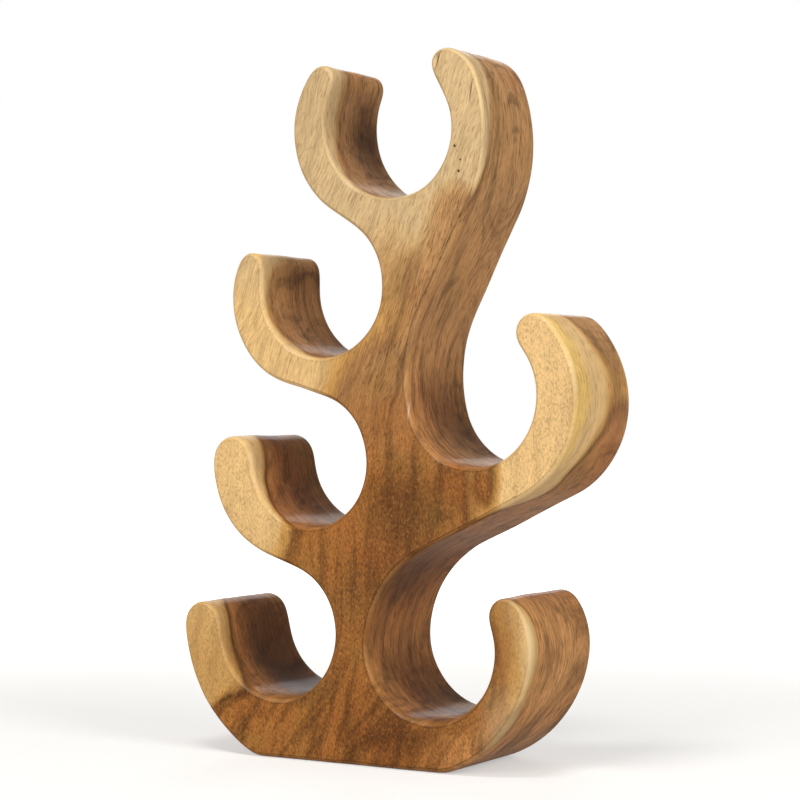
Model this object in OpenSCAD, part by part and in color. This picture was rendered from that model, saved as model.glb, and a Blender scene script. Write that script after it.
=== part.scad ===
// Freestanding wine rack carved from one thick slab of wood in the shape of a small tree.
// Six round seats hold bottles that lie front to back: two at the foot, three up the trunk, one on top.
// X runs to the right, Y to the back and Z up, with the origin in the middle of the foot.
// The outline is a belt of arcs joined by their common tangents, seen from the front as X and Z.

/* [Slab] */
// Front to back thickness of the slab at the foot
base_depth = 83; // [66:1:90]
// Front to back thickness of the slab at the highest tip
top_depth = 62; // [50:1:72]
// Radius of the rounded edge round the front and the back face
edge_r = 6; // [3:0.5:7]
// Angle that the rounded edge turns before it meets the face in a crease
edge_turn = 62; // [45:1:85]
// Radius of the outline where the foot meets the two lowest arms
foot_r = 8; // [7.5:0.5:12]

/* [Top seat] */
// Centre of the top seat to the right of the middle of the foot
top_x = 32.5; // [24:0.5:38]
// Height of the centre of the top seat
top_z = 382; // [370:1:400]
// Radius of the top seat on its left and at the bottom
top_r = 46.5; // [42:0.5:48]
// Radius of the tighter right wall of the top seat
top_wall_r = 38.5; // [38.5:0.5:41]
// Direction in which the right wall of the top seat starts
top_wall_a = -80; // [-95:1:-70]

/* [Top left arm] */
// Direction of the tip from the centre of the top seat
top_left_tip_a = 151.5; // [142:0.5:158]
// Radius of the rounded tip
top_left_tip_r = 9; // [7.5:0.5:11]
// Gap between the tip and the circle of the seat, which flares the mouth
top_left_flare = 0; // [0:0.5:4]
// Centre of the outer arc to the right of the centre of the seat
top_left_out_x = -13.5; // [-17:0.5:-10]
// Centre of the outer arc above the centre of the seat
top_left_out_z = -4.5; // [-7:0.5:0]

/* [Top right arm] */
// Direction of the tip from the centre of the right wall of the top seat
top_right_tip_a = 48; // [38:1:52]
// Radius of the rounded tip
top_right_tip_r = 9.5; // [8:0.5:12]
// Gap between the tip and the circle of the seat wall, which flares the mouth
top_right_flare = 3; // [0:0.5:4]
// Radius of the shoulder between the tip and the outer arc
top_right_shoulder_r = 28.5; // [20:0.5:36]
// Direction from the tip to the centre of the shoulder
top_right_shoulder_a = -106; // [-118:1:-98]
// Centre of the outer arc to the right of the centre of the seat
top_right_out_x = -30; // [-34:0.5:-22]
// Centre of the outer arc above the centre of the seat
top_right_out_z = -11; // [-14:0.5:-5]

/* [Upper left seat and arm] */
// Centre of the seat to the right of the middle of the foot
upper_left_x = -16.5; // [-22:0.5:-11]
// Height of the centre of the seat
upper_left_z = 284; // [280:1:290]
// Radius of the seat
upper_left_r = 42; // [39:0.5:43]
// Direction of the tip from the centre of the seat
upper_left_tip_a = 165; // [158:1:175]
// Radius of the rounded tip
upper_left_tip_r = 9.5; // [8:0.5:12]
// Gap between the tip and the circle of the seat, which flares the mouth
upper_left_flare = 1.5; // [0:0.5:5]
// Centre of the outer arc to the right of the centre of the seat
upper_left_out_x = -12; // [-17:0.5:-10]
// Centre of the outer arc above the centre of the seat
upper_left_out_z = -6; // [-10:0.5:-3]

/* [Lower left seat and arm] */
// Centre of the seat to the right of the middle of the foot
lower_left_x = -25.5; // [-32:0.5:-20]
// Height of the centre of the seat
lower_left_z = 180; // [176:0.5:185]
// Radius of the seat
lower_left_r = 40; // [38.5:0.5:42]
// Direction of the tip from the centre of the seat
lower_left_tip_a = 180; // [170:1:188]
// Radius of the rounded tip
lower_left_tip_r = 15; // [10:0.5:17]
// Gap between the tip and the circle of the seat, which flares the mouth
lower_left_flare = 0.5; // [0:0.5:5]
// Centre of the outer arc to the right of the centre of the seat
lower_left_out_x = -12.5; // [-17:0.5:-11]
// Centre of the outer arc above the centre of the seat
lower_left_out_z = -2.5; // [-6:0.5:0]

/* [Bottom left seat and arm] */
// Centre of the seat to the right of the middle of the foot
bottom_left_x = -48; // [-54:0.5:-42]
// Height of the centre of the seat
bottom_left_z = 76.5; // [72:0.5:80]
// Radius of the seat
bottom_left_r = 41; // [38.5:0.5:43]
// Direction of the tip from the centre of the seat
bottom_left_tip_a = 177; // [170:1:186]
// Radius of the rounded tip
bottom_left_tip_r = 13.5; // [8:0.5:16]
// Gap between the tip and the circle of the seat, which flares the mouth
bottom_left_flare = 1.5; // [0:0.5:5]
// Centre of the outer arc to the right of the centre of the seat
bottom_left_out_x = 21; // [17:0.5:27]
// Centre of the outer arc above the centre of the seat
bottom_left_out_z = 6; // [2:0.5:9]

/* [Bottom right seat and arm] */
// Centre of the seat to the right of the middle of the foot
bottom_right_x = 58; // [48:0.5:60]
// Height of the centre of the seat
bottom_right_z = 71.5; // [68:0.5:76]
// Radius of the seat
bottom_right_r = 42.5; // [39:0.5:44]
// Direction of the tip from the centre of the seat
bottom_right_tip_a = 23.5; // [12:0.5:28]
// Radius of the rounded tip
bottom_right_tip_r = 11.5; // [8:0.5:13]
// Gap between the tip and the circle of the seat, which flares the mouth
bottom_right_flare = 0; // [0:0.5:4]
// Radius of the shoulder between the tip and the outer arc
bottom_right_shoulder_r = 45; // [35:0.5:55]
// Direction from the tip to the centre of the shoulder
bottom_right_shoulder_a = -143.5; // [-152:0.5:-135]
// Radius of the hollow that carries the seat's left wall on up into the crotch
bottom_right_hollow_r = 70; // [60:1:80]
// Direction from the centre of the seat to the centre of that hollow
bottom_right_hollow_a = -11; // [-20:1:0]
// Centre of the outer arc to the right of the centre of the seat
bottom_right_out_x = -14; // [-16:0.5:-8]
// Centre of the outer arc above the centre of the seat
bottom_right_out_z = 7; // [3:0.5:9]

/* [Middle right seat and arm] */
// Centre of the seat to the right of the middle of the foot
middle_right_x = 86; // [82:0.5:92]
// Height of the centre of the seat
middle_right_z = 219; // [214:1:226]
// Radius of the seat
middle_right_r = 41.5; // [38.5:0.5:43]
// Direction of the tip from the centre of the seat
middle_right_tip_a = 42; // [36:1:54]
// Radius of the rounded tip
middle_right_tip_r = 12; // [8:0.5:13]
// Gap between the tip and the circle of the seat, which flares the mouth
middle_right_flare = 0; // [0:0.5:4]
// Centre of the outer arc to the right of the centre of the seat
middle_right_out_x = 5; // [2:0.5:9]
// Centre of the outer arc above the centre of the seat
middle_right_out_z = -2; // [-5:0.5:2]

/* [Trunk] */
// Radius of the long hollow up the right side of the trunk, above the middle right seat
hollow_r = 87; // [70:0.5:100]
// Direction from the centre of the middle right seat to the centre of the hollow
hollow_a = 11.5; // [5:0.5:18]
// Radius of the long curve under the middle right arm
under_r = 118; // [90:1:140]
// Direction from the centre of the arm's outer arc to the centre of the curve under it
under_a = 118; // [110:0.5:126]

/* [Hidden] */
wood = [0.72, 0.51, 0.31];
// Longest and shortest facet along the outline, and the facets across the rounded edge
facet = 6;
shortest = 0.4;
edge_steps = 3;

// A disc is [x, z, r]: r is positive where the wood bulges and negative where the air does.
function polar(centre, distance, angle) = centre + distance * [cos(angle), sin(angle)];
function disc(centre, r) = [centre.x, centre.y, r];
function centre_of(d) = [d.x, d.y];
function wrap(angle) = ((angle % 360) + 360) % 360;

// The tip of an arm, which stands off the circle of its seat by the flare.
function tip_disc(seat, angle, r, flare) =
    disc(polar(centre_of(seat), -seat.z + r + flare, angle), r);

// A disc that touches a smaller one from round it, with its centre in the given direction.
function round_disc(inner, r, angle) =
    disc(polar(centre_of(inner), r - inner.z, angle), r);

// A hollow that runs on from a seat with its own radius, with its centre in the given direction.
function hollow_disc(seat, r, angle) =
    disc(polar(centre_of(seat), r + seat.z, angle), -r);

// The outer arc of an arm: it has its own centre and touches the disc at its end from round it.
function outer_disc(seat, inner, shift_x, shift_z) =
    let (centre = centre_of(seat) + [shift_x, shift_z])
    disc(centre, norm(centre - centre_of(inner)) + inner.z);

// The small disc in the corner between the ground and an outer arc.
function foot_disc(arc, side) =
    disc([arc.x + side * sqrt(pow(arc.z - foot_r, 2) - pow(arc.y - foot_r, 2)), foot_r], foot_r);

top_seat = [top_x, top_z, -top_r];
top_wall = hollow_disc(top_seat, top_wall_r, top_wall_a + 180);
upper_left_seat = [upper_left_x, upper_left_z, -upper_left_r];
lower_left_seat = [lower_left_x, lower_left_z, -lower_left_r];
bottom_left_seat = [bottom_left_x, bottom_left_z, -bottom_left_r];
bottom_right_seat = [bottom_right_x, bottom_right_z, -bottom_right_r];
middle_right_seat = [middle_right_x, middle_right_z, -middle_right_r];

top_left_tip = tip_disc(top_seat, top_left_tip_a, top_left_tip_r, top_left_flare);
top_right_tip = tip_disc(top_wall, top_right_tip_a, top_right_tip_r, top_right_flare);
upper_left_tip = tip_disc(upper_left_seat, upper_left_tip_a, upper_left_tip_r, upper_left_flare);
lower_left_tip = tip_disc(lower_left_seat, lower_left_tip_a, lower_left_tip_r, lower_left_flare);
bottom_left_tip = tip_disc(bottom_left_seat, bottom_left_tip_a, bottom_left_tip_r, bottom_left_flare);
bottom_right_tip = tip_disc(bottom_right_seat, bottom_right_tip_a, bottom_right_tip_r, bottom_right_flare);
middle_right_tip = tip_disc(middle_right_seat, middle_right_tip_a, middle_right_tip_r, middle_right_flare);

top_right_shoulder = round_disc(top_right_tip, top_right_shoulder_r, top_right_shoulder_a);
bottom_right_shoulder = round_disc(bottom_right_tip, bottom_right_shoulder_r, bottom_right_shoulder_a);

top_left_arc = outer_disc(top_seat, top_left_tip, top_left_out_x, top_left_out_z);
top_right_arc = outer_disc(top_seat, top_right_shoulder, top_right_out_x, top_right_out_z);
upper_left_arc = outer_disc(upper_left_seat, upper_left_tip, upper_left_out_x, upper_left_out_z);
lower_left_arc = outer_disc(lower_left_seat, lower_left_tip, lower_left_out_x, lower_left_out_z);
bottom_left_arc = outer_disc(bottom_left_seat, bottom_left_tip, bottom_left_out_x, bottom_left_out_z);
bottom_right_arc = outer_disc(bottom_right_seat, bottom_right_shoulder, bottom_right_out_x, bottom_right_out_z);
middle_right_arc = outer_disc(middle_right_seat, middle_right_tip, middle_right_out_x, middle_right_out_z);

under_arc = round_disc(middle_right_arc, under_r, under_a);
trunk_hollow = hollow_disc(middle_right_seat, hollow_r, hollow_a);
crotch_hollow = hollow_disc(bottom_right_seat, bottom_right_hollow_r, bottom_right_hollow_a);

// The belt goes round the rack counter-clockwise as seen from the front, from the left of the foot.
belt = [
    foot_disc(bottom_left_arc, -1),
    foot_disc(bottom_right_arc, 1),
    bottom_right_arc,
    bottom_right_shoulder,
    bottom_right_tip,
    bottom_right_seat,
    crotch_hollow,
    under_arc,
    middle_right_arc,
    middle_right_tip,
    middle_right_seat,
    trunk_hollow,
    top_right_arc,
    top_right_shoulder,
    top_right_tip,
    top_wall,
    top_seat,
    top_left_tip,
    top_left_arc,
    upper_left_seat,
    upper_left_tip,
    upper_left_arc,
    lower_left_seat,
    lower_left_tip,
    lower_left_arc,
    bottom_left_seat,
    bottom_left_tip,
    bottom_left_arc
];

// Direction from each disc to the point where the belt leaves it for the next one,
// and the length of the straight stretch between the two.
leave = [for (i = [0:len(belt) - 1]) tangent(belt[i], belt[(i + 1) % len(belt)])];

function tangent(here, next) =
    let (
        way = centre_of(next) - centre_of(here),
        turn = acos(max(-1, min(1, (here.z - next.z) / norm(way))))
    )
    [atan2(way.y, way.x) - turn, norm(way) * sin(turn)];

// Angle that the belt turns round a disc: no arc here is as long as 300 degrees.
function sweep(i) =
    let (
        from = leave[(i + len(belt) - 1) % len(belt)][0],
        to = leave[i][0],
        bulge = belt[i].z > 0,
        turn = bulge ? wrap(to - from) : wrap(from - to),
        short = turn > 300 ? turn - 360 : turn
    )
    bulge ? short : -short;

// Points of the outline, drawn in from the true one by the inset. Where two discs touch they share a point.
function outline(inset) = [
    for (i = [0:len(belt) - 1])
        let (
            to = leave[i][0],
            turn = sweep(i),
            steps = max(1, ceil(abs(turn) * PI / 180 * max(abs(belt[i].z), 2 * facet) / facet)),
            last = leave[i][1] < shortest ? steps - 1 : steps
        )
        for (k = [0:1:last])
            polar(centre_of(belt[i]), belt[i].z - inset, to - turn * (1 - k / steps))
];

least_tip_r = min([for (d = belt) if (d.z > 0) d.z]);
edge = min(edge_r, least_tip_r - 0.5);
rim = outline(0);
rack_height = max([for (p = rim) p.y]);
front_y = -base_depth / 2;

// The front face stands upright and the back face leans forward to the top.
function back_y(z) = base_depth / 2 - (base_depth - top_depth) * z / rack_height;

// The rounded edge as [inset, depth] pairs, from the crease at the face to the wall.
edge_profile = [
    for (k = [0:edge_steps])
        let (angle = edge_turn * (1 - k / edge_steps))
        [edge * (1 - cos(angle)), edge * (sin(edge_turn) - sin(angle))]
];
front_rings = [
    for (e = edge_profile)
        [for (p = outline(e.x)) [p.x, front_y + e.y, p.y]]
];
back_rings = [
    for (k = [edge_steps:-1:0])
        let (e = edge_profile[k])
        [for (p = outline(e.x)) [p.x, back_y(p.y) - e.y, p.y]]
];
rings = concat(front_rings, back_rings);

function area(a, b, c) = (b.x - a.x) * (c.y - a.y) - (b.y - a.y) * (c.x - a.x);
function inside(p, a, b, c) = area(a, b, p) >= 0 && area(b, c, p) >= 0 && area(c, a, p) >= 0;
function tail_of(list, first) = [for (k = [first:1:len(list) - 1]) list[k]];

// True where the first three points of the loop make a triangle with no other point in it.
function is_ear(points, loop) =
    let (a = points[loop[0]], b = points[loop[1]], c = points[loop[2]])
    area(a, b, c) > 0
    && len([for (k = [3:1:len(loop) - 1]) if (inside(points[loop[k]], a, b, c)) k]) == 0;

// Triangles that fill a face, cut off one ear at a time.
function fill(points, loop, misses = 0, done = []) =
    len(loop) < 3 ? done :
    is_ear(points, loop) || misses > len(loop)
        ? fill(points, concat(tail_of(loop, 2), [loop[0]]), 0, concat(done, [[loop[0], loop[1], loop[2]]]))
        : fill(points, concat(tail_of(loop, 1), [loop[0]]), misses + 1, done);

module rack() {
    count = len(rim);
    last = len(rings) - 1;
    face = fill(outline(edge_profile[0].x), [for (i = [0:count - 1]) i]);
    front = [for (t = face) [t[2], t[1], t[0]]];
    back = [for (t = face) [t[0], t[1], t[2]] + last * count * [1, 1, 1]];
    walls = [
        for (k = [0:last - 1], i = [0:count - 1])
            let (a = k * count + i, b = k * count + (i + 1) % count)
            for (t = [[a, b, b + count], [a, b + count, a + count]])
                t
    ];
    color(wood)
        polyhedron(points = [for (ring = rings, p = ring) p], faces = concat(front, walls, back));
}

rack();
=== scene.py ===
import math

import bmesh
import bpy
from mathutils import Matrix, Vector


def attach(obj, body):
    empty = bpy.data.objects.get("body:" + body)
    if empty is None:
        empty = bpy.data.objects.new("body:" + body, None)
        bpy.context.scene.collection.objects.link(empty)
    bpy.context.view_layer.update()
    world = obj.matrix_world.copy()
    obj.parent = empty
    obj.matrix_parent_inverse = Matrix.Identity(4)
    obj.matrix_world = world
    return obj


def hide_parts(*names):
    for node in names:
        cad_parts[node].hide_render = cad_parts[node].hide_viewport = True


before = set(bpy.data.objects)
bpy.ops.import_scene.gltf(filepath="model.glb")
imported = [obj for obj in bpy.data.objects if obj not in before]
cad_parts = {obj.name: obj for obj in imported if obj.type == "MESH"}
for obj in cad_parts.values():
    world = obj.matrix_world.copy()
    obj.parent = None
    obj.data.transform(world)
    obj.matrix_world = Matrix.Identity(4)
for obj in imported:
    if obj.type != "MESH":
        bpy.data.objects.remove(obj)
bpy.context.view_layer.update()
mm = 0.001


def linear(hexColour):  # sRGB hex to the linear colour that a socket takes
    channels = [int(hexColour[i:i + 2], 16) / 255 for i in (1, 3, 5)]
    return [c / 12.92 if c <= 0.04045 else ((c + 0.055) / 1.055) ** 2.4 for c in channels] + [1]


def perMetre(sizes):  # sizes in mm to the scale of a pattern
    return [1 / (size * mm) for size in sizes]


def between(ends):  # two places in mm as the ends of a Map Range
    return {"From Min": ends[0] * mm, "From Max": ends[1] * mm}


def addNode(tree, kind, inputs=None, **settings):  # an input is a value or the output that feeds it
    node = tree.nodes.new(kind)
    for name, value in settings.items():
        setattr(node, name, value)
    for socket, source in (inputs or {}).items():
        if isinstance(source, bpy.types.NodeSocket):
            tree.links.new(source, node.inputs[socket])
        else:
            node.inputs[socket].default_value = source
    return node


# Satin lacquered suar wood. Sawn from one log, so the brown heartwood and the pale sapwood are
# laid out in the solid and run on round every edge: the eye sees one piece of timber.
suar = {
    "pithFoot": (23.6, 35.8),  # where the middle of the log meets the ground, mm
    "pithLean": (0.029, -0.082),  # how far it moves for each mm of height
    "logSquash": 0.5,  # the log is twice as wide as it is deep
    "heartRadius": 93.0,  # mm at the ground, where the brown turns to sapwood
    "heartTaper": 0.14,
    # Where the heartwood swells or shrinks: place and reach in mm, and how far its edge moves out
    "bulges": (
        ((82, -41, 320), (26, 30, 34), 13.0),  # right of the neck
        ((12, -41, 262), (18, 24, 18), -2.0),  # left of the neck
        ((62, -41, 284), (24, 30, 30), 5.0),  # upper trunk
        ((102, -4, 352), (26, 34, 78), 32.0),  # outer side of the top right arm
        ((-56, -32, 278), (20, 22, 36), 10.0),  # inside the upper left arm
        ((119, -20, 161), (22, 22, 18), -7.5),  # under the middle right arm
        ((100, -41, 170), (12, 20, 22), 4.0),  # its front
        ((148, 0, 240), (30, 30, 40), 2.0),  # its outer side
        ((-85, -41, 15), (30, 26, 28), 11.0),  # heel of the lowest left arm
        ((-90, -18, 77), (14, 16, 30), 5.0),  # its inner side
        ((126, -38, 82), (10, 9, 44), -8.0),  # rounded edge of the lowest right arm
    ),
    # The brown turns to sapwood within this many mm low down and all over the middle right arm, and
    # bit by bit higher up and inside the lowest left arm
    "borderWidth": 2.4,
    "softAbove": (200, 280),  # heights, mm
    "softShare": 0.4,  # how sharp the border stays up there
    "middleRightArm": ((85, 105), (300, 270)),  # mm to the right, and mm up
    "blur": ((-84, -10, 48), (34, 60, 56), 0.7),  # inside the lowest left arm
    # The grain leans to the right where the trunk does: from and to these heights, it moves this far, mm
    "leans": ((160, 460, 82), (110, -40, -24)),
    "wander": (16, 7, 0),  # mm that the grain strays, so that no line is ruled
    "wanderLength": 60,
    "swirl": (5, 5, 3),  # mm that the curl is stirred
    "swirlLength": 9,
    "slantTurn": -42,  # degrees that the bands over the foot lean
    # Patterns in the grain: mm from streak to streak across, in depth and up, then detail, roughness and
    # distortion of the noise. Real pores are 0.3 mm wide; these are 0.8 mm so that they show at all
    "patterns": {
        "bands": ((5.0, 9, 85), 4, 0.62, 0),
        "fibres": ((1.1, 1.5, 15), 4, 0.72, 0),
        "sawnFibres": ((26, 1.4, 26), 4, 0.7, 0),
        "curl": ((1.0, 1.0, 2.1), 2, 0.55, 0),
        "pores": ((0.8, 0.8, 4.5), 2, 0.5, 0),
        "sawnPores": ((6, 0.8, 6), 2, 0.5, 0),
        "slant": ((10, 40, 90), 2, 0.5, 0.4),
        "lines": ((130, 7, 130), 2, 0.6, 0),
    },
    "cloudSize": 38,  # mm
    "curlBelow": (250, 170),  # heights, mm
    "slantBelow": (80, 30),
    "highlightLength": 32,  # mm from one stretch of painted highlight on the edge to the next
    "deepHeart": "#643A1A",
    "heart": "#824F24",
    "lightHeart": "#98622E",
    "heartEdge": "#74481F",
    "sapEdge": "#C2914E",
    "sap": "#D8B279",
    # greyer sapwood up high, and the painted sheen on the bottom of the middle right seat
    "greySapAndSheen": "#C8AA7C",
    "highHeart": "#B68A5A",
    "sawnHeart": "#BC8048",
    # paler heartwood, painted as light on shaded walls and undersides
    "paintedLightHeart": "#D29A60",
    "paintedHighlight": "#EBCF9C",  # painted highlight on the rounded edges
    "honeySap": "#B68A4E",
    "yellowSap": "#E8BE62",
    "red": "#8A4A20",
    "olive": "#8C6A34",
    # dark streaks in the grain, and the painted shade in the seats, under the fork and in the creases
    "darkStreakAndShade": "#3E2410",
    "pore": "#35200F",
    # painted highlight on the crease of the trunk's right side
    "paintedCreaseHighlight": "#E6CDB4",
    "fleck": "#C48A48",  # bright fibres that stand out between the pores
    # From deep in the heartwood out to the sapwood: ends in mm from the border, and the colours on the way
    "rampEnds": (-50, 25),
    "ramp": (
        (0.0, "deepHeart"), (0.3, "heart"), (0.55, "lightHeart"), (0.628, "lightHeart"),
        (0.652, "heartEdge"), (0.675, "sapEdge"), (0.7, "sap"),
    ),
    # Colours over the ramp: what each follows and from where to where, share, where it lies and name
    "layers": (
        ("height", 270 * mm, 320 * mm, 1.0, "inSap", "greySapAndSheen"),
        ("height", 150 * mm, 60 * mm, 0.85, "inSap", "honeySap"),  # near the foot
        ("outward", 11 * mm, 15 * mm, 0.6, "onWall", "yellowSap"),  # the outermost sapwood
        ("border", -1.6 * mm, -4 * mm, 0.75, "onWall", "sawnHeart"),  # where the saw cut along it
        ("height", 170 * mm, 270 * mm, 0.8, "inHeart", "highHeart"),  # it pales towards the top
        ("clouds", 0.5, 0.72, 0.5, "inHeart", "red"),
        ("clouds", 0.48, 0.3, 0.45, "inHeart", "olive"),
    ),
    # Darker and paler figure in the heartwood, and painted shade and painted light on walls and undersides:
    # place and reach in mm, share and colour
    "figure": (
        ((42, -41, 150), (34, 40, 34), 0.64, "darkStreakAndShade"),  # middle of the body
        ((12, -41, 96), (26, 40, 30), 0.26, "darkStreakAndShade"),  # lower trunk
        ((30, -20, 112), (30, 40, 22), 0.5, "darkStreakAndShade"),  # under the fork: dark heartwood, and painted shade
        ((68, -41, 149), (5, 12, 4), 0.5, "darkStreakAndShade"),  # small knot right of it
        ((47, -41, 298), (9, 20, 26), 0.3, "darkStreakAndShade"),  # smudge in the neck
        ((24, -41, 17), (12, 20, 6), 0.4, "darkStreakAndShade"),  # knots over the foot
        ((44, -41, 20), (14, 20, 7), 0.35, "darkStreakAndShade"),
        ((30, -41, 30), (7, 20, 22), 0.2, "darkStreakAndShade"),
        ((6, -41, 14), (6, 24, 22), 0.4, "darkStreakAndShade"),  # dark streak down to the foot
        ((-56, 8, 58), (48, 40, 46), 0.92, "darkStreakAndShade"),  # back of the lowest left seat: dark heartwood, and painted shade
        ((-20, 6, 366), (26, 26, 46), 0.4, "darkStreakAndShade"),  # inside the top left arm: dark heartwood, and painted shade
        ((66, 10, 192), (34, 30, 28), 0.25, "greySapAndSheen"),  # painted sheen on the bottom of the middle right seat
        ((100, 5, 138), (46, 50, 34), 0.45, "paintedLightHeart"),  # painted light on the underside of the middle right arm
        ((128, 0, 56), (34, 60, 64), 0.75, "paintedLightHeart"),  # painted light on the outer side of the lowest right arm
        ((100, 0, 10), (50, 60, 26), 0.7, "paintedLightHeart"),  # and painted light on its underside
        ((76, -6, 268), (30, 60, 50), 0.45, "paintedLightHeart"),  # painted light on the right side of the trunk
        ((52, 0, 230), (26, 60, 36), 0.5, "paintedLightHeart"),
        ((-62, 4, 284), (30, 50, 40), 0.6, "paintedLightHeart"),  # painted light inside the upper left arm
    ),
    # The growth line beside the rounded edge: place, reach and share, and the row of points it follows
    "growthLine": ((92, -34, 322), (40, 30, 110), 0.5),
    "growthRow": 5.9,
    # What lies on the surface, and painted highlights on two edges: place, reach, share and colour
    "marks": (
        ((76, -41, 363), (1.1, 6, 1.1), 0.8, "pore"),  # pin holes
        ((79.7, -41, 354.9), (1.0, 6, 1.0), 0.4, "pore"),
        ((78.7, -41, 348.4), (1.1, 6, 1.1), 0.8, "pore"),
        ((86.6, -41, 394), (0.8, 4, 7), 0.3, "pore"),  # short checks
        ((64.8, -41, 413), (0.8, 4, 7), 0.3, "pore"),
        ((44.6, -41, 213), (0.5, 3, 10), 0.45, "paintedCreaseHighlight"),  # painted highlight on the crease of the trunk's right side
        ((125, -39, 84), (7, 5, 44), 0.55, "paintedHighlight"),  # painted highlight on the rounded edge of the lowest right arm
        ((112, -39, 28), (22, 5, 30), 0.35, "paintedHighlight"),
        ((107, -41, 84), (11, 7, 44), 0.5, "heart"),  # brown streak beside it
    ),
    "roughness": 0.5,
    "ior": 1.5,
    "coat": 0.16,  # the lacquer alone glosses
    "coatRoughness": 0.2,
    "relief": 0.25,  # mm from the fibres down to the pores
}


def nearness(tree, place, centre, reach, most):  # falls from the given share at the centre to nothing
    shift = [-at / size for at, size in zip(centre, reach)]
    away = addNode(tree, "ShaderNodeVectorMath", {0: place, 1: perMetre(reach), 2: shift},
                   operation="MULTIPLY_ADD").outputs[0]
    away = addNode(tree, "ShaderNodeVectorMath", {0: away}, operation="LENGTH").outputs["Value"]
    return addNode(tree, "ShaderNodeMapRange",
                   {"Value": away, "From Min": 1.3, "From Max": 0.2, "To Max": most},
                   interpolation_type="SMOOTHSTEP").outputs[0]


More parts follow.
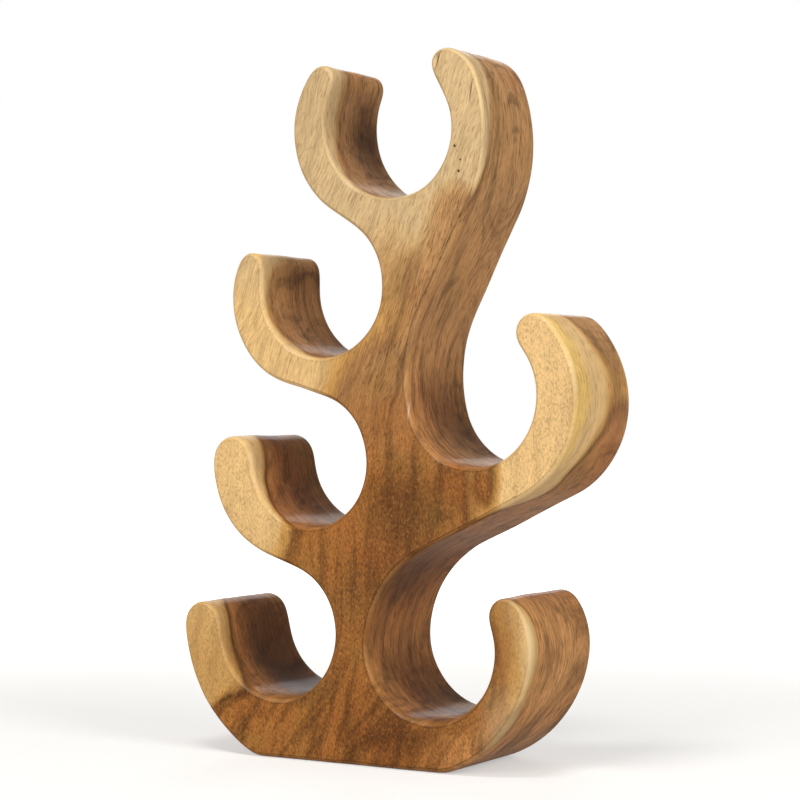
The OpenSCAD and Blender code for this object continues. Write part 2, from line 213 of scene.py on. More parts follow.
def suarWood(facts):
    material = bpy.data.materials.new("satinLacqueredSuar")
    material.use_nodes = True
    tree = material.node_tree
    tree.nodes.clear()
    place = addNode(tree, "ShaderNodeTexCoord").outputs["Object"]
    parts = addNode(tree, "ShaderNodeSeparateXYZ", {0: place}).outputs
    height = parts["Z"]
    onWall = addNode(tree, "ShaderNodeAttribute", attribute_name="onWall").outputs["Fac"]
    onFace = addNode(tree, "ShaderNodeMath", {0: 1.0, 1: onWall}, operation="SUBTRACT").outputs[0]
    often = 1 / (facts["wanderLength"] * mm)
    wander = addNode(tree, "ShaderNodeTexNoise",
                     {"Vector": place, "Scale": often, "Detail": 3}).outputs["Color"]
    wander = addNode(tree, "ShaderNodeVectorMath", {0: wander, 1: (0.5, 0.5, 0.5)},
                     operation="SUBTRACT").outputs[0]
    stray = [far * mm for far in facts["wander"]]
    wood = addNode(tree, "ShaderNodeVectorMath", {0: wander, 1: stray, 2: place},
                   operation="MULTIPLY_ADD").outputs[0]

    # Distance out from the edge of the heartwood, in metres: the sapwood is where it is positive
    foot = [at * mm for at in facts["pithFoot"]] + [0]
    pith = addNode(tree, "ShaderNodeVectorMath", {0: height, 1: (*facts["pithLean"], 0), 2: foot},
                   operation="MULTIPLY_ADD").outputs[0]
    across = addNode(tree, "ShaderNodeVectorMath", {0: wood, 1: pith}, operation="SUBTRACT").outputs[0]
    across = addNode(tree, "ShaderNodeVectorMath", {0: across, 1: (facts["logSquash"], 1, 0)},
                     operation="MULTIPLY").outputs[0]
    radius = addNode(tree, "ShaderNodeVectorMath", {0: across}, operation="LENGTH").outputs["Value"]
    outward = addNode(tree, "ShaderNodeMath", {0: height, 1: facts["heartTaper"], 2: radius},
                      operation="MULTIPLY_ADD").outputs[0]
    outward = addNode(tree, "ShaderNodeMath", {0: outward, 1: facts["heartRadius"] * mm},
                      operation="SUBTRACT").outputs[0]
    for centre, reach, growth in facts["bulges"]:
        swelling = nearness(tree, place, centre, reach, growth * mm)
        outward = addNode(tree, "ShaderNodeMath", {0: outward, 1: swelling}, operation="SUBTRACT").outputs[0]

    # The border is sharp in some places and soft in others
    farRight, below = facts["middleRightArm"]
    onArm = addNode(tree, "ShaderNodeMapRange", {"Value": parts["X"], **between(farRight)},
                    interpolation_type="SMOOTHSTEP").outputs[0]
    belowTop = addNode(tree, "ShaderNodeMapRange", {"Value": height, **between(below)}).outputs[0]
    onArm = addNode(tree, "ShaderNodeMath", {0: onArm, 1: belowTop}, operation="MULTIPLY").outputs[0]
    sharp = addNode(tree, "ShaderNodeMapRange", {"Value": height, **between(facts["softAbove"]),
                                                 "To Min": 1.0, "To Max": facts["softShare"]}).outputs[0]
    sharp = addNode(tree, "ShaderNodeMath", {0: sharp, 1: onArm}, operation="MAXIMUM").outputs[0]
    blurred = nearness(tree, place, *facts["blur"])
    unblurred = addNode(tree, "ShaderNodeMath", {0: 1.0, 1: blurred}, operation="SUBTRACT").outputs[0]
    sharp = addNode(tree, "ShaderNodeMath", {0: sharp, 1: unblurred}, operation="MULTIPLY").outputs[0]
    border = addNode(tree, "ShaderNodeMath", {0: outward, 1: sharp}, operation="MULTIPLY").outputs[0]
    half = facts["borderWidth"] / 2
    inSap = addNode(tree, "ShaderNodeMapRange", {"Value": border, **between((-half, half))}).outputs[0]
    inHeart = addNode(tree, "ShaderNodeMath", {0: 1.0, 1: inSap}, operation="SUBTRACT").outputs[0]

    lean = wood
    for lowest, highest, shift in facts["leans"]:
        moved = addNode(tree, "ShaderNodeMapRange",
                        {"Value": height, **between((lowest, highest)), "To Max": -shift * mm},
                        interpolation_type="SMOOTHSTEP").outputs[0]
        moved = addNode(tree, "ShaderNodeCombineXYZ", {0: moved}).outputs[0]
        lean = addNode(tree, "ShaderNodeVectorMath", {0: lean, 1: moved}).outputs[0]

    # Growth rings follow the edge of the heartwood, and show as long dark bands. On the faces the fibres
    # show their slanting ends, and on the sawn edges they run along the edge. Low down the grain is
    # interlocked, which breaks them into a curly stipple
    leanParts = addNode(tree, "ShaderNodeSeparateXYZ", {0: lean}).outputs
    rings = addNode(tree, "ShaderNodeCombineXYZ",
                    {0: outward, 1: leanParts["X"], 2: leanParts["Z"]}).outputs[0]
    often = 1 / (facts["swirlLength"] * mm)
    swirl = addNode(tree, "ShaderNodeTexNoise",
                    {"Vector": place, "Scale": often, "Detail": 1}).outputs["Color"]
    stir = [far * mm for far in facts["swirl"]]
    swirl = addNode(tree, "ShaderNodeVectorMath", {0: swirl, 1: stir, 2: place},
                    operation="MULTIPLY_ADD").outputs[0]
    tilted = addNode(tree, "ShaderNodeVectorRotate",
                     {"Vector": wood, "Angle": math.radians(facts["slantTurn"])},
                     rotation_type="Y_AXIS").outputs[0]
    follows = {"bands": rings, "fibres": lean, "sawnFibres": wood, "curl": swirl, "pores": lean,
               "sawnPores": place, "slant": tilted, "lines": wood}
    grain = {}
    for name, (size, detail, roughness, distortion) in facts["patterns"].items():
        spot = addNode(tree, "ShaderNodeMapping",
                       {"Vector": follows[name], "Scale": perMetre(size)}).outputs[0]
        grain[name] = addNode(tree, "ShaderNodeTexNoise", {
            "Vector": spot, "Scale": 1, "Detail": detail, "Roughness": roughness,
            "Distortion": distortion}).outputs[0]
    fibre = addNode(tree, "ShaderNodeMix",
                    {"Factor": onWall, "A": grain["fibres"], "B": grain["sawnFibres"]}).outputs[0]
    pores = addNode(tree, "ShaderNodeMix",
                    {"Factor": onWall, "A": grain["pores"], "B": grain["sawnPores"]}).outputs[0]
    curlZone = addNode(tree, "ShaderNodeMapRange", {"Value": height, **between(facts["curlBelow"])},
                       interpolation_type="SMOOTHSTEP").outputs[0]
    curlZone = addNode(tree, "ShaderNodeMath", {0: curlZone, 1: onArm}, operation="MAXIMUM").outputs[0]
    curlZone = addNode(tree, "ShaderNodeMath", {0: curlZone, 1: onFace}, operation="MULTIPLY").outputs[0]
    longPores = addNode(tree, "ShaderNodeMapRange",
                        {"Value": pores, "From Min": 0.53, "From Max": 0.68}).outputs[0]
    shortPores = addNode(tree, "ShaderNodeMapRange",
                         {"Value": grain["curl"], "From Min": 0.5, "From Max": 0.68,
                          "To Max": 0.6}).outputs[0]
    poreMask = addNode(tree, "ShaderNodeMix",
                       {"Factor": curlZone, "A": longPores, "B": shortPores}).outputs[0]

    # The plain colours of heartwood and sapwood, then the colours and the figure laid over them
    step = addNode(tree, "ShaderNodeMapRange", {"Value": border, **between(facts["rampEnds"])}).outputs[0]
    ramp = addNode(tree, "ShaderNodeValToRGB", {"Fac": step})
    stops = facts["ramp"]
    while len(ramp.color_ramp.elements) < len(stops):
        ramp.color_ramp.elements.new(0.5)
    for element, (position, name) in zip(ramp.color_ramp.elements, stops):
        element.position = position
        element.color = linear(facts[name])
    colour = ramp.outputs["Color"]
    often = 1 / (facts["cloudSize"] * mm)
    clouds = addNode(tree, "ShaderNodeTexNoise", {"Vector": lean, "Scale": often, "Detail": 3}).outputs[0]
    fields = {"height": height, "outward": outward, "border": border, "clouds": clouds,
              "inSap": inSap, "inHeart": inHeart, "onWall": onWall}
    for field, start, end, share, where, name in facts["layers"]:
        layer = addNode(tree, "ShaderNodeMapRange",
                        {"Value": fields[field], "From Min": start, "From Max": end,
                         "To Max": share}).outputs[0]
        layer = addNode(tree, "ShaderNodeMath", {0: fields[where], 1: layer}, operation="MULTIPLY").outputs[0]
        colour = addNode(tree, "ShaderNodeMix", {"Factor": layer, 6: colour, 7: linear(facts[name])},
                         data_type="RGBA").outputs[2]
    for centre, reach, share, name in facts["figure"]:
        near = nearness(tree, wood, centre, reach, share)
        near = addNode(tree, "ShaderNodeMath", {0: near, 1: inHeart}, operation="MULTIPLY").outputs[0]
        colour = addNode(tree, "ShaderNodeMix", {"Factor": near, 6: colour, 7: linear(facts[name])},
                         data_type="RGBA").outputs[2]

    # Broad slanting bands cross the foot, long dark lines run along the sawn edges, and the growth
    # rings show everywhere, though less in the sapwood
    dark = linear(facts["darkStreakAndShade"])
    slant = addNode(tree, "ShaderNodeMapRange", {"Value": grain["slant"], "From Min": 0.47, "From Max": 0.6,
                                                 "To Max": 0.4}, interpolation_type="SMOOTHSTEP").outputs[0]
    atFoot = addNode(tree, "ShaderNodeMapRange", {"Value": height, **between(facts["slantBelow"])},
                     interpolation_type="SMOOTHSTEP").outputs[0]
    slant = addNode(tree, "ShaderNodeMath", {0: slant, 1: atFoot}, operation="MULTIPLY").outputs[0]
    slant = addNode(tree, "ShaderNodeMath", {0: slant, 1: inHeart}, operation="MULTIPLY").outputs[0]
    lines = addNode(tree, "ShaderNodeMapRange", {"Value": grain["lines"], "From Min": 0.54, "From Max": 0.66,
                                                 "To Max": 0.28}).outputs[0]
    lines = addNode(tree, "ShaderNodeMath", {0: lines, 1: onWall}, operation="MULTIPLY").outputs[0]
    lines = addNode(tree, "ShaderNodeMath", {0: lines, 1: inHeart}, operation="MULTIPLY").outputs[0]
    bands = addNode(tree, "ShaderNodeMapRange", {"Value": grain["bands"], "From Min": 0.5,
                                                 "From Max": 0.68}).outputs[0]
    bandShare = addNode(tree, "ShaderNodeMapRange",
                        {"Value": inSap, "To Min": 0.5, "To Max": 0.13}).outputs[0]
    bands = addNode(tree, "ShaderNodeMath", {0: bands, 1: bandShare}, operation="MULTIPLY").outputs[0]
    for mask in (slant, lines, bands):
        colour = addNode(tree, "ShaderNodeMix",
                         {"Factor": mask, 6: colour, 7: dark}, data_type="RGBA").outputs[2]

    # The fibres, the curl and the rings make the wood paler and darker, more gently in the sapwood and
    # on the sawn edges
    longTone = addNode(tree, "ShaderNodeMapRange", {"Value": fibre, "From Min": 0.34, "From Max": 0.66,
                                                    "To Min": 0.66, "To Max": 1.3}).outputs[0]
    shortTone = addNode(tree, "ShaderNodeMapRange", {"Value": grain["curl"], "From Min": 0.3, "From Max": 0.7,
                                                     "To Min": 1.28, "To Max": 0.84}).outputs[0]
    tone = addNode(tree, "ShaderNodeMix", {"Factor": curlZone, "A": longTone, "B": shortTone}).outputs[0]
    gentle = addNode(tree, "ShaderNodeMapRange", {"Value": inSap, "To Min": 1.0, "To Max": 0.62}).outputs[0]
    calmer = addNode(tree, "ShaderNodeMapRange", {"Value": onWall, "To Min": 1.0, "To Max": 0.6}).outputs[0]
    gentle = addNode(tree, "ShaderNodeMath", {0: gentle, 1: calmer}, operation="MULTIPLY").outputs[0]
    tone = addNode(tree, "ShaderNodeMix", {"Factor": gentle, "A": 1.0, "B": tone}).outputs[0]
    blotch = addNode(tree, "ShaderNodeMapRange", {"Value": grain["bands"], "From Min": 0.25, "From Max": 0.6,
                                                  "To Min": 1.15, "To Max": 0.92}).outputs[0]
    blotch = addNode(tree, "ShaderNodeMix", {"Factor": gentle, "A": 1.0, "B": blotch}).outputs[0]
    tone = addNode(tree, "ShaderNodeMath", {0: tone, 1: blotch}, operation="MULTIPLY").outputs[0]
    colour = addNode(tree, "ShaderNodeVectorMath", {0: colour, "Scale": tone}, operation="SCALE").outputs[0]
    flecks = addNode(tree, "ShaderNodeMapRange", {"Value": grain["curl"], "From Min": 0.42, "From Max": 0.26,
                                                  "To Max": 0.34}).outputs[0]
    flecks = addNode(tree, "ShaderNodeMath", {0: flecks, 1: curlZone}, operation="MULTIPLY").outputs[0]
    flecks = addNode(tree, "ShaderNodeMath", {0: flecks, 1: inHeart}, operation="MULTIPLY").outputs[0]
    colour = addNode(tree, "ShaderNodeMix", {"Factor": flecks, 6: colour, 7: linear(facts["fleck"])},
                     data_type="RGBA").outputs[2]
    poreShare = addNode(tree, "ShaderNodeMapRange",
                        {"Value": inSap, "To Min": 0.58, "To Max": 0.42}).outputs[0]
    poreShare = addNode(tree, "ShaderNodeMath", {0: poreMask, 1: poreShare}, operation="MULTIPLY").outputs[0]
    poreColour = addNode(tree, "ShaderNodeMix", {"Factor": inSap, 6: linear(facts["pore"]),
                                                 7: linear(facts["heart"])}, data_type="RGBA").outputs[2]
    colour = addNode(tree, "ShaderNodeMix", {"Factor": poreShare, 6: colour, 7: poreColour},
                     data_type="RGBA").outputs[2]

    # The rounded edges get a painted highlight, a painted shade line lies in the crease where they meet the
    # faces, and a brown growth line runs beside them high up on the right
    highlightUp = addNode(tree, "ShaderNodeMapRange", {"Value": onWall, "From Min": 0.08, "From Max": 0.3},
                    interpolation_type="SMOOTHSTEP").outputs[0]
    highlightDown = addNode(tree, "ShaderNodeMapRange", {"Value": onWall, "From Min": 0.95, "From Max": 0.5},
                      interpolation_type="SMOOTHSTEP").outputs[0]
    paintedHighlight = addNode(tree, "ShaderNodeMath", {0: highlightUp, 1: highlightDown}, operation="MULTIPLY").outputs[0]
    highlightShare = addNode(tree, "ShaderNodeMapRange",
                       {"Value": inSap, "To Min": 0.08, "To Max": 0.36}).outputs[0]
    often = 1 / (facts["highlightLength"] * mm)
    uneven = addNode(tree, "ShaderNodeTexNoise", {"Vector": place, "Scale": often, "Detail": 1}).outputs[0]
    uneven = addNode(tree, "ShaderNodeMapRange",
                     {"Value": uneven, "From Min": 0.35, "From Max": 0.6}).outputs[0]
    highlightShare = addNode(tree, "ShaderNodeMath", {0: highlightShare, 1: uneven}, operation="MULTIPLY").outputs[0]
    paintedHighlight = addNode(tree, "ShaderNodeMath", {0: paintedHighlight, 1: highlightShare}, operation="MULTIPLY").outputs[0]
    # painted shade: a dark line along the crease where the rounded edge meets the face, on the walls only
    creaseShade = addNode(tree, "ShaderNodeMapRange",
                      {"Value": onWall, "From Min": 0.2, "From Max": 0.0}).outputs[0]
    creaseShadeShare = addNode(tree, "ShaderNodeMapRange",
                          {"Value": inSap, "To Min": 0.6, "To Max": 0.26}).outputs[0]
    creaseShade = addNode(tree, "ShaderNodeMath", {0: creaseShade, 1: creaseShadeShare}, operation="MULTIPLY").outputs[0]
    offFace = addNode(tree, "ShaderNodeAttribute", attribute_name="offFace").outputs["Fac"]
    creaseShade = addNode(tree, "ShaderNodeMath", {0: creaseShade, 1: offFace}, operation="MULTIPLY").outputs[0]
    growth = addNode(tree, "ShaderNodeAttribute", attribute_name="row").outputs["Fac"]
    growth = addNode(tree, "ShaderNodeMath",
                     {0: growth, 1: facts["growthRow"]}, operation="SUBTRACT").outputs[0]
    growth = addNode(tree, "ShaderNodeMath", {0: growth}, operation="ABSOLUTE").outputs[0]
    growth = addNode(tree, "ShaderNodeMapRange",
                     {"Value": growth, "From Min": 0.9, "From Max": 0.1}).outputs[0]
    highRight = nearness(tree, place, *facts["growthLine"])
    growth = addNode(tree, "ShaderNodeMath", {0: growth, 1: highRight}, operation="MULTIPLY").outputs[0]
    for mask, name in ((paintedHighlight, "paintedHighlight"), (creaseShade, "darkStreakAndShade"), (growth, "heart")):
        colour = addNode(tree, "ShaderNodeMix", {"Factor": mask, 6: colour, 7: linear(facts[name])},
                         data_type="RGBA").outputs[2]
    for centre, reach, share, name in facts["marks"]:
        near = nearness(tree, place, centre, reach, share)
        colour = addNode(tree, "ShaderNodeMix", {"Factor": near, 6: colour, 7: linear(facts[name])},
                         data_type="RGBA").outputs[2]

    relief = addNode(tree, "ShaderNodeMath",
                     {0: poreMask, 1: -0.7, 2: fibre}, operation="MULTIPLY_ADD").outputs[0]
    bump = addNode(tree, "ShaderNodeBump", {"Height": relief, "Strength": 0.5,
                                            "Distance": facts["relief"] * mm}).outputs[0]
    shader = addNode(tree, "ShaderNodeBsdfPrincipled", {
        "Base Color": colour, "Roughness": facts["roughness"], "IOR": facts["ior"], "Specular IOR Level": 0.0,
        "Coat Weight": facts["coat"], "Coat Roughness": facts["coatRoughness"], "Normal": bump})
    addNode(tree, "ShaderNodeOutputMaterial", {"Surface": shader.outputs[0]})
    print("wood:", len(tree.nodes), "nodes")
    return material


# The rack is sawn from a slab and its edges are rounded by hand, so their width wanders, the walls
# swell and dip a little, and the rounding meets the flat faces in a crease
carving = {
    "outlineDepth": -36.2,  # where the CAD part's outline lies, from front to back, mm
    "outlineSlack": 0.05,  # how far from there its points may be, mm
    "front": -41.5,
    "footDepth": 82.9,
    "topDepth": 62.0,
    "height": 421.35,
    "edge": 6.0,  # radius of the rounded edges, mm
    "edgeTurn": 62.0,  # degrees that they turn
    "edgeWander": 0.3,  # share by which they widen and narrow
    "edgeLength": 45.0,  # mm from wide to narrow
    "swell": 0.6,  # height of the hand-sanded waves, mm
    "swellLength": 38.0,
    "swellDrift": 70.0,  # mm that they move along from front to back
    "swellStart": (1, 12),  # heights over which they begin, so that the foot stays flat, mm
    "outlinePoints": 420,
    "columns": 1500,
    "edgeRows": 5,
    "wallRows": 24,
    "sanding": 5,  # passes that take the facets off the outline
    "creaseAngle": 20,  # degrees past which an edge is sharp
    "looseMerge": 0.02,  # mm within which points are one: the CAD part's, the sheet's seam and the rims
    "seamMerge": 0.005,
    "rimMerge": 0.03,
}


def slabTree(facts, material):
    tree = bpy.data.node_groups.new("slabByHand", "GeometryNodeTree")
    tree.interface.new_socket("Geometry", in_out="INPUT", socket_type="NodeSocketGeometry")
    sizes = {}
    for name, key, unit in (
            ("Outline depth", "outlineDepth", mm), ("Outline slack", "outlineSlack", mm),
            ("Front", "front", mm), ("Foot depth", "footDepth", mm), ("Top depth", "topDepth", mm),
            ("Height", "height", mm), ("Edge", "edge", mm), ("Edge turn", "edgeTurn", math.pi / 180),
            ("Edge wander", "edgeWander", 1), ("Edge length", "edgeLength", mm), ("Swell", "swell", mm),
            ("Swell length", "swellLength", mm), ("Swell drift", "swellDrift", mm),
            ("Crease angle", "creaseAngle", math.pi / 180), ("Seam merge", "seamMerge", mm),
            ("Rim merge", "rimMerge", mm), ("Outline points", "outlinePoints", 0),
            ("Columns", "columns", 0), ("Edge rows", "edgeRows", 0), ("Wall rows", "wallRows", 0),
            ("Sanding", "sanding", 0)):
        kind = "NodeSocketFloat" if unit else "NodeSocketInt"
        value = facts[key] * unit if unit else facts[key]
        sizes[tree.interface.new_socket(name, in_out="INPUT", socket_type=kind).identifier] = value
    tree.interface.new_socket("Geometry", in_out="OUTPUT", socket_type="NodeSocketGeometry")
    given = addNode(tree, "NodeGroupInput").outputs

    # The CAD part's outline, as a smooth closed curve
    place = addNode(tree, "GeometryNodeInputPosition").outputs[0]
    parts = addNode(tree, "ShaderNodeSeparateXYZ", {0: place}).outputs
    onOutline = addNode(tree, "ShaderNodeMath",
                        {0: parts["Y"], 1: given["Outline depth"], 2: given["Outline slack"]},
                        operation="COMPARE").outputs[0]
    ring = addNode(tree, "GeometryNodeMeshToCurve",
                   {"Mesh": given["Geometry"], "Selection": onOutline}).outputs[0]
    ring = addNode(tree, "GeometryNodeResampleCurve",
                   {"Curve": ring, "Count": given["Outline points"]}).outputs[0]
    ring = addNode(tree, "GeometryNodeCurveSplineType", {"Curve": ring}, spline_type="CATMULL_ROM").outputs[0]
    ring = addNode(tree, "GeometryNodeResampleCurve", {"Curve": ring, "Count": given["Columns"]}).outputs[0]
    sanded = addNode(tree, "GeometryNodeBlurAttribute", {"Value": place, "Iterations": given["Sanding"]},
                     data_type="FLOAT_VECTOR").outputs[0]
    ring = addNode(tree, "GeometryNodeSetPosition", {"Geometry": ring, "Position": sanded}).outputs[0]

    # A sheet with a column for each step along the outline, and rows from the front face to the back
    lastRow = addNode(tree, "ShaderNodeMath", {0: given["Edge rows"], 1: 2.0, 2: given["Wall rows"]},
                      operation="MULTIPLY_ADD").outputs[0]
    rowCount = addNode(tree, "ShaderNodeMath", {0: lastRow, 1: 1.0}, operation="ADD").outputs[0]
    columnCount = addNode(tree, "ShaderNodeMath", {0: given["Columns"], 1: 1.0}, operation="ADD").outputs[0]
    sheet = addNode(tree, "GeometryNodeMeshGrid",
                    {"Vertices X": columnCount, "Vertices Y": rowCount}).outputs[0]
    number = addNode(tree, "GeometryNodeInputIndex").outputs[0]
    row = addNode(tree, "ShaderNodeMath", {0: number, 1: rowCount}, operation="FLOORED_MODULO").outputs[0]
    column = addNode(tree, "ShaderNodeMath", {0: number, 1: 0.5}, operation="ADD").outputs[0]
    column = addNode(tree, "ShaderNodeMath", {0: column, 1: rowCount}, operation="DIVIDE").outputs[0]
    column = addNode(tree, "ShaderNodeMath", {0: column}, operation="FLOOR").outputs[0]
    wayRound = addNode(tree, "ShaderNodeMath",
                       {0: column, 1: given["Columns"]}, operation="DIVIDE").outputs[0]
    sample = addNode(tree, "GeometryNodeSampleCurve", {"Curves": ring, "Factor": wayRound},
                     mode="FACTOR", use_all_curves=True).outputs
    side = addNode(tree, "ShaderNodeVectorMath", {0: (0, 1, 0), 1: sample["Tangent"]},
                   operation="CROSS_PRODUCT").outputs[0]
    side = addNode(tree, "ShaderNodeVectorMath", {0: side}, operation="NORMALIZE").outputs[0]

    # How far round the rounded edge a row lies: none at the crease, all of it on the wall
    roundness = addNode(tree, "ShaderNodeMath", {0: lastRow, 1: row}, operation="SUBTRACT").outputs[0]
    roundness = addNode(tree, "ShaderNodeMath", {0: row, 1: roundness}, operation="MINIMUM").outputs[0]
    roundness = addNode(tree, "ShaderNodeMath",
                        {0: roundness, 1: given["Edge rows"]}, operation="MINIMUM").outputs[0]
    roundness = addNode(tree, "ShaderNodeMath",
                        {0: roundness, 1: given["Edge rows"]}, operation="DIVIDE").outputs[0]
    angle = addNode(tree, "ShaderNodeMath", {0: 1.0, 1: roundness}, operation="SUBTRACT").outputs[0]
    angle = addNode(tree, "ShaderNodeMath",
                    {0: given["Edge turn"], 1: angle}, operation="MULTIPLY").outputs[0]
    often = addNode(tree, "ShaderNodeMath", {0: 1.0, 1: given["Edge length"]}, operation="DIVIDE").outputs[0]
    edge = addNode(tree, "ShaderNodeTexNoise",
                   {"Vector": sample["Position"], "Scale": often, "Detail": 1}).outputs[0]
    narrowest = addNode(tree, "ShaderNodeMath",
                        {0: 1.0, 1: given["Edge wander"]}, operation="SUBTRACT").outputs[0]
    edge = addNode(tree, "ShaderNodeMapRange", {"Value": edge, "From Min": 0.3, "From Max": 0.7,
                                                "To Min": narrowest, "To Max": 1.0}).outputs[0]
    edge = addNode(tree, "ShaderNodeMath", {0: edge, 1: given["Edge"]}, operation="MULTIPLY").outputs[0]
    inset = addNode(tree, "ShaderNodeMath", {0: angle}, operation="COSINE").outputs[0]
    inset = addNode(tree, "ShaderNodeMath", {0: inset, 1: 1.0}, operation="SUBTRACT").outputs[0]
    inset = addNode(tree, "ShaderNodeMath", {0: edge, 1: inset}, operation="MULTIPLY").outputs[0]
    turned = addNode(tree, "ShaderNodeMath", {0: given["Edge turn"]}, operation="SINE").outputs[0]
    dip = addNode(tree, "ShaderNodeMath", {0: angle}, operation="SINE").outputs[0]
    dip = addNode(tree, "ShaderNodeMath", {0: turned, 1: dip}, operation="SUBTRACT").outputs[0]
    dip = addNode(tree, "ShaderNodeMath", {0: edge, 1: dip}, operation="MULTIPLY").outputs[0]
    across = addNode(tree, "ShaderNodeMath", {0: row, 1: given["Edge rows"]}, operation="SUBTRACT").outputs[0]
    across = addNode(tree, "ShaderNodeMath",
                     {0: across, 1: given["Wall rows"]}, operation="DIVIDE").outputs[0]
    across = addNode(tree, "ShaderNodeClamp", {0: across}).outputs[0]

    # The hand-sanded waves fade out at the creases and over the foot
    drift = addNode(tree, "ShaderNodeMath",
                    {0: across, 1: given["Swell drift"]}, operation="MULTIPLY").outputs[0]
    drift = addNode(tree, "ShaderNodeCombineXYZ", {"Y": drift}).outputs[0]
    waves = addNode(tree, "ShaderNodeVectorMath", {0: sample["Position"], 1: drift}).outputs[0]
    often = addNode(tree, "ShaderNodeMath", {0: 1.0, 1: given["Swell length"]}, operation="DIVIDE").outputs[0]
    waves = addNode(tree, "ShaderNodeTexNoise", {"Vector": waves, "Scale": often, "Detail": 1}).outputs[0]
    waves = addNode(tree, "ShaderNodeMapRange", {"Value": waves, "From Min": 0.3, "From Max": 0.7,
                                                 "To Min": -1.0, "To Max": 0.0}).outputs[0]
    waves = addNode(tree, "ShaderNodeMath", {0: waves, 1: given["Swell"]}, operation="MULTIPLY").outputs[0]
    offFoot = addNode(tree, "ShaderNodeSeparateXYZ", {0: sample["Position"]}).outputs["Z"]
    offFoot = addNode(tree, "ShaderNodeMapRange",
                      {"Value": offFoot, **between(facts["swellStart"])}).outputs[0]
    fade = addNode(tree, "ShaderNodeMath", {0: roundness, 1: offFoot}, operation="MULTIPLY").outputs[0]
    waves = addNode(tree, "ShaderNodeMath", {0: waves, 1: fade}, operation="MULTIPLY").outputs[0]
    aside = addNode(tree, "ShaderNodeMath", {0: inset, 1: waves}, operation="ADD").outputs[0]
    spot = addNode(tree, "ShaderNodeVectorMath", {0: side, "Scale": aside}, operation="SCALE").outputs[0]
    spot = addNode(tree, "ShaderNodeVectorMath", {0: spot, 1: sample["Position"]}).outputs[0]
    spot = addNode(tree, "ShaderNodeSeparateXYZ", {0: spot}).outputs

    # The front face is upright and the back face leans forward to the top
    slope = addNode(tree, "ShaderNodeMath", {0: given["Top depth"], 1: given["Foot depth"]},
                    operation="SUBTRACT").outputs[0]
    slope = addNode(tree, "ShaderNodeMath", {0: slope, 1: given["Height"]}, operation="DIVIDE").outputs[0]
    backFoot = addNode(tree, "ShaderNodeMath",
                       {0: given["Foot depth"], 1: 0.5}, operation="MULTIPLY").outputs[0]
    back = addNode(tree, "ShaderNodeMath",
                   {0: spot["Z"], 1: slope, 2: backFoot}, operation="MULTIPLY_ADD").outputs[0]
    back = addNode(tree, "ShaderNodeMath", {0: back, 1: dip}, operation="SUBTRACT").outputs[0]
    front = addNode(tree, "ShaderNodeMath", {0: given["Front"], 1: dip}, operation="ADD").outputs[0]
    y = addNode(tree, "ShaderNodeMix", {"Factor": across, "A": front, "B": back}).outputs[0]
    z = addNode(tree, "ShaderNodeMath", {0: spot["Z"], 1: 0.0}, operation="MAXIMUM").outputs[0]
    spot = addNode(tree, "ShaderNodeCombineXYZ", {"X": spot["X"], "Y": y, "Z": z}).outputs[0]
    walls = sheet
    notes = (("row", row, "POINT"), ("onWall", roundness, "POINT"), ("offFace", 1.0, "FACE"))
    for name, value, domain in notes:
        walls = addNode(tree, "GeometryNodeStoreNamedAttribute",
                        {"Geometry": walls, "Name": name, "Value": value}, domain=domain).outputs[0]
    walls = addNode(tree, "GeometryNodeSetPosition", {"Geometry": walls, "Position": spot}).outputs[0]
    walls = addNode(tree, "GeometryNodeMergeByDistance",
                    {"Geometry": walls, "Distance": given["Seam merge"]}).outputs[0]
    walls = addNode(tree, "GeometryNodeFlipFaces", {"Mesh": walls}).outputs[0]

    # The two flat faces fill the creases at the first row and the last. Fill Curve works on level
    # curves, so each rim is laid down and its face stood up again
    named = addNode(tree, "GeometryNodeInputNamedAttribute", {"Name": "row"}).outputs[0]
    back = addNode(tree, "ShaderNodeMath", {0: parts["Z"], 1: slope, 2: backFoot},
                   operation="MULTIPLY_ADD").outputs[0]
    faces = []
    for rimRow, y in ((0.0, given["Front"]), (lastRow, back)):
        rim = addNode(tree, "ShaderNodeMath", {0: named, 1: rimRow, 2: 0.2}, operation="COMPARE").outputs[0]
        rim = addNode(tree, "GeometryNodeMeshToCurve", {"Mesh": walls, "Selection": rim}).outputs[0]
        rim = addNode(tree, "GeometryNodeTransform",
                      {"Geometry": rim, "Rotation": (-math.pi / 2, 0, 0)}).outputs[0]
        face = addNode(tree, "GeometryNodeFillCurve", {"Curve": rim}).outputs[0]
        face = addNode(tree, "GeometryNodeTransform",
                       {"Geometry": face, "Rotation": (math.pi / 2, 0, 0)}).outputs[0]
        flat = addNode(tree, "ShaderNodeCombineXYZ", {"X": parts["X"], "Y": y, "Z": parts["Z"]}).outputs[0]
        face = addNode(tree, "GeometryNodeSetPosition", {"Geometry": face, "Position": flat}).outputs[0]
        faces.append(face)
    faces[1] = addNode(tree, "GeometryNodeFlipFaces", {"Mesh": faces[1]}).outputs[0]
    join = addNode(tree, "GeometryNodeJoinGeometry")
    for part in (walls, *faces):
        tree.links.new(part, join.inputs[0])
    skin = addNode(tree, "GeometryNodeMergeByDistance",
                   {"Geometry": join.outputs[0], "Distance": given["Rim merge"]}).outputs[0]
    skin = addNode(tree, "GeometryNodeSetShadeSmooth", {"Geometry": skin}).outputs[0]
    crease = addNode(tree, "GeometryNodeInputMeshEdgeAngle").outputs[0]
    crease = addNode(tree, "FunctionNodeCompare", {0: crease, 1: given["Crease angle"]},
                     operation="GREATER_THAN").outputs[0]
    skin = addNode(tree, "GeometryNodeSetShadeSmooth",
                   {"Geometry": skin, "Selection": crease, "Shade Smooth": False}, domain="EDGE").outputs[0]
    skin = addNode(tree, "GeometryNodeSetMaterial", {"Geometry": skin, "Material": material}).outputs[0]
    addNode(tree, "NodeGroupOutput", {"Geometry": skin})
    return tree, sizes


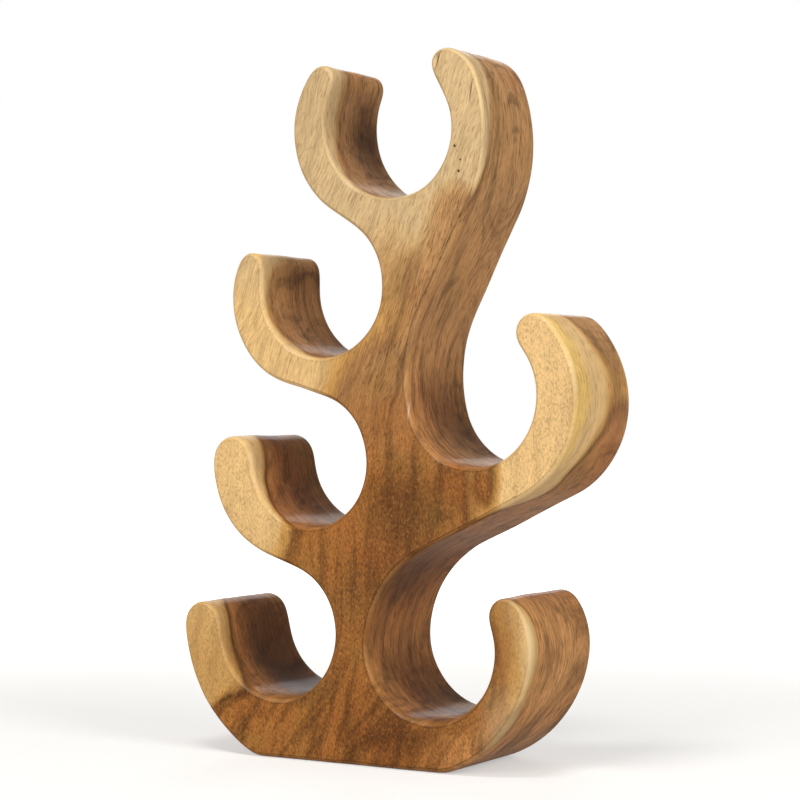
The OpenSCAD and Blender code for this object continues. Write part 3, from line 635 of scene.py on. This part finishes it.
def baked(piece):  # the evaluated object as a plain mesh, with its modifiers gone
    view = bpy.context.evaluated_depsgraph_get()
    mesh = bpy.data.meshes.new_from_object(piece.evaluated_get(view))
    piece.modifiers.clear()
    piece.data = mesh
    finish = [material for material in mesh.materials if material]
    mesh.materials.clear()
    mesh.materials.append(finish[0])
    mesh.polygons.foreach_set("material_index", [0] * len(mesh.polygons))


def carvedRack(facts, material):
    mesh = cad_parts["rack"].data.copy()
    skin = bmesh.new()
    skin.from_mesh(mesh)
    bmesh.ops.remove_doubles(skin, verts=skin.verts, dist=facts["looseMerge"] * mm)
    skin.to_mesh(mesh)
    skin.free()
    mesh.materials.clear()
    mesh.materials.append(material)
    piece = bpy.data.objects.new("carvedRack", mesh)
    bpy.context.scene.collection.objects.link(piece)
    tree, sizes = slabTree(facts, material)
    slab = piece.modifiers.new("slab", "NODES")
    slab.node_group = tree
    for identifier, value in sizes.items():
        slab[identifier] = value
    baked(piece)
    print("slab:", len(piece.data.vertices), "points,", len(piece.data.polygons), "faces")
    return piece


# What years and tools left on the front: place, half lengths in mm and lean in degrees
wear = (
    ((76, -41.5, 363), (0.6, 5, 0.6), 0),  # pin holes
    ((79.7, -41.5, 354.9), (0.45, 1.5, 0.45), 0),
    ((78.7, -41.5, 348.4), (0.6, 5, 0.6), 0),
    ((86.6, -41.5, 394), (0.35, 0.8, 7), 9),  # short checks
    ((64.8, -41.5, 413), (0.35, 0.8, 7), 20),
)


def pierced(piece, facts):
    cuts = bmesh.new()
    for centre, halves, turn in facts:
        spot = Matrix.Translation(Vector(centre) * mm) @ Matrix.Rotation(math.radians(turn), 4, "Y")
        spot = spot @ Matrix.Diagonal((*(half * mm for half in halves), 1))
        bmesh.ops.create_icosphere(cuts, subdivisions=3, radius=1, matrix=spot)
    mesh = bpy.data.meshes.new("cuts")
    cuts.to_mesh(mesh)
    mesh.materials.append(piece.data.materials[0])
    cuts.free()
    cutter = bpy.data.objects.new("cuts", mesh)
    bpy.context.scene.collection.objects.link(cutter)
    hole = piece.modifiers.new("holes", "BOOLEAN")
    hole.operation, hole.solver, hole.object = "DIFFERENCE", "MANIFOLD", cutter
    baked(piece)
    bpy.data.objects.remove(cutter)
    print("pierced:", len(piece.data.polygons), "faces")


rack = carvedRack(carving, suarWood(suar))
pierced(rack, wear)
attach(rack, "root")
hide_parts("rack")


# A pale studio floor. The camera sees it nearly white, and only its plain colour lights the wood.
studio = {
    "floor": "#CCCAC6",
    "floorHalf": 6.0,  # metres
    "floorGlow": (0.42, 1.0),  # near the rack and far off, where the floor is lost in the backdrop
    "glowReach": (0.2, 1.3),  # metres
    "backdrop": 1.0,
    "fillLight": 0.26,
    "cameraPlace": (713.6, -1169.8, 216.5),  # mm
    "cameraTurn": 30.86,  # degrees to the left of straight back
    "lens": 101.2,
    # Lamps: place, what they point at and size in metres, and power in watts
    "lamps": {
        "frontBox": ((-0.35, -2.1, 0.75), (0, 0, 0.2), (1.1, 1.1), 25.5),
        "sideBox": ((1.8, -0.5, 0.95), (0.05, 0, 0.2), (0.8, 0.8), 21),
        "topBox": ((0.1, -0.7, 1.8), (0, 0, 0.2), (0.5, 0.3), 11),
        "backBox": ((-1.1, 1.9, 1.0), (0, 0, 0.2), (1.1, 1.1), 13),
    },
}


def studioFloor(facts):
    mesh = bpy.data.meshes.new("floor")
    half = facts["floorHalf"]
    corners = [(-half, -half, 0), (half, -half, 0), (half, half, 0), (-half, half, 0)]
    mesh.from_pydata(corners, [], [(0, 1, 2, 3)])
    floor = bpy.data.objects.new("floor", mesh)
    bpy.context.scene.collection.objects.link(floor)
    material = bpy.data.materials.new("paleMattBoard")
    material.use_nodes = True
    tree = material.node_tree
    tree.nodes.clear()
    board = addNode(tree, "ShaderNodeBsdfDiffuse", {"Color": linear(facts["floor"])}).outputs[0]
    rays = addNode(tree, "ShaderNodeLightPath").outputs
    seen = addNode(tree, "ShaderNodeMath", {0: rays["Is Camera Ray"], 1: rays["Is Glossy Ray"]},
                   operation="MAXIMUM").outputs[0]
    spot = addNode(tree, "ShaderNodeTexCoord").outputs["Object"]
    off = addNode(tree, "ShaderNodeVectorMath", {0: spot}, operation="LENGTH").outputs["Value"]
    near, away = facts["floorGlow"]
    start, end = facts["glowReach"]
    glow = addNode(tree, "ShaderNodeMapRange", {"Value": off, "From Min": start, "From Max": end,
                                                "To Min": near, "To Max": away},
                   interpolation_type="SMOOTHSTEP").outputs[0]
    strength = addNode(tree, "ShaderNodeMath", {0: seen, 1: glow}, operation="MULTIPLY").outputs[0]
    glow = addNode(tree, "ShaderNodeEmission", {"Strength": strength}).outputs[0]
    both = addNode(tree, "ShaderNodeAddShader", {0: board, 1: glow}).outputs[0]
    addNode(tree, "ShaderNodeOutputMaterial", {"Surface": both})
    mesh.materials.append(material)


def studioWorld(facts):
    world = bpy.data.worlds.new("studio")
    bpy.context.scene.world = world
    world.use_nodes = True
    tree = world.node_tree
    tree.nodes.clear()
    rays = addNode(tree, "ShaderNodeLightPath").outputs
    seen = addNode(tree, "ShaderNodeMath", {0: rays["Is Camera Ray"], 1: rays["Is Glossy Ray"]},
                   operation="MAXIMUM").outputs[0]
    seen = addNode(tree, "ShaderNodeMath",
                   {0: seen, 1: rays["Is Transmission Ray"]}, operation="MAXIMUM").outputs[0]
    strength = addNode(tree, "ShaderNodeMix",
                       {"Factor": seen, "A": facts["fillLight"], "B": facts["backdrop"]}).outputs[0]
    light = addNode(tree, "ShaderNodeBackground", {"Color": (1, 1, 1, 1), "Strength": strength}).outputs[0]
    addNode(tree, "ShaderNodeOutputWorld", {"Surface": light})


def softBox(name, place, aim, size, power):
    lamp = bpy.data.lights.new(name, "AREA")
    lamp.shape = "RECTANGLE"
    lamp.size, lamp.size_y = size
    lamp.energy = power
    box = bpy.data.objects.new(name, lamp)
    bpy.context.scene.collection.objects.link(box)
    box.location = place
    box.rotation_euler = (Vector(aim) - Vector(place)).to_track_quat("-Z", "Y").to_euler()


def studioCamera(facts):
    lens = bpy.data.cameras.new("photoView")
    lens.lens = facts["lens"]
    lens.sensor_width = 36
    camera = bpy.data.objects.new("photoView", lens)
    bpy.context.scene.collection.objects.link(camera)
    camera.location = Vector(facts["cameraPlace"]) * mm
    camera.rotation_euler = (math.radians(90), 0, math.radians(facts["cameraTurn"]))
    bpy.context.scene.camera = camera


studioFloor(studio)
studioWorld(studio)
studioCamera(studio)
for name, lamp in studio["lamps"].items():
    softBox(name, *lamp)
bpy.context.scene.view_settings.view_transform = "Standard"
print("studio ready")
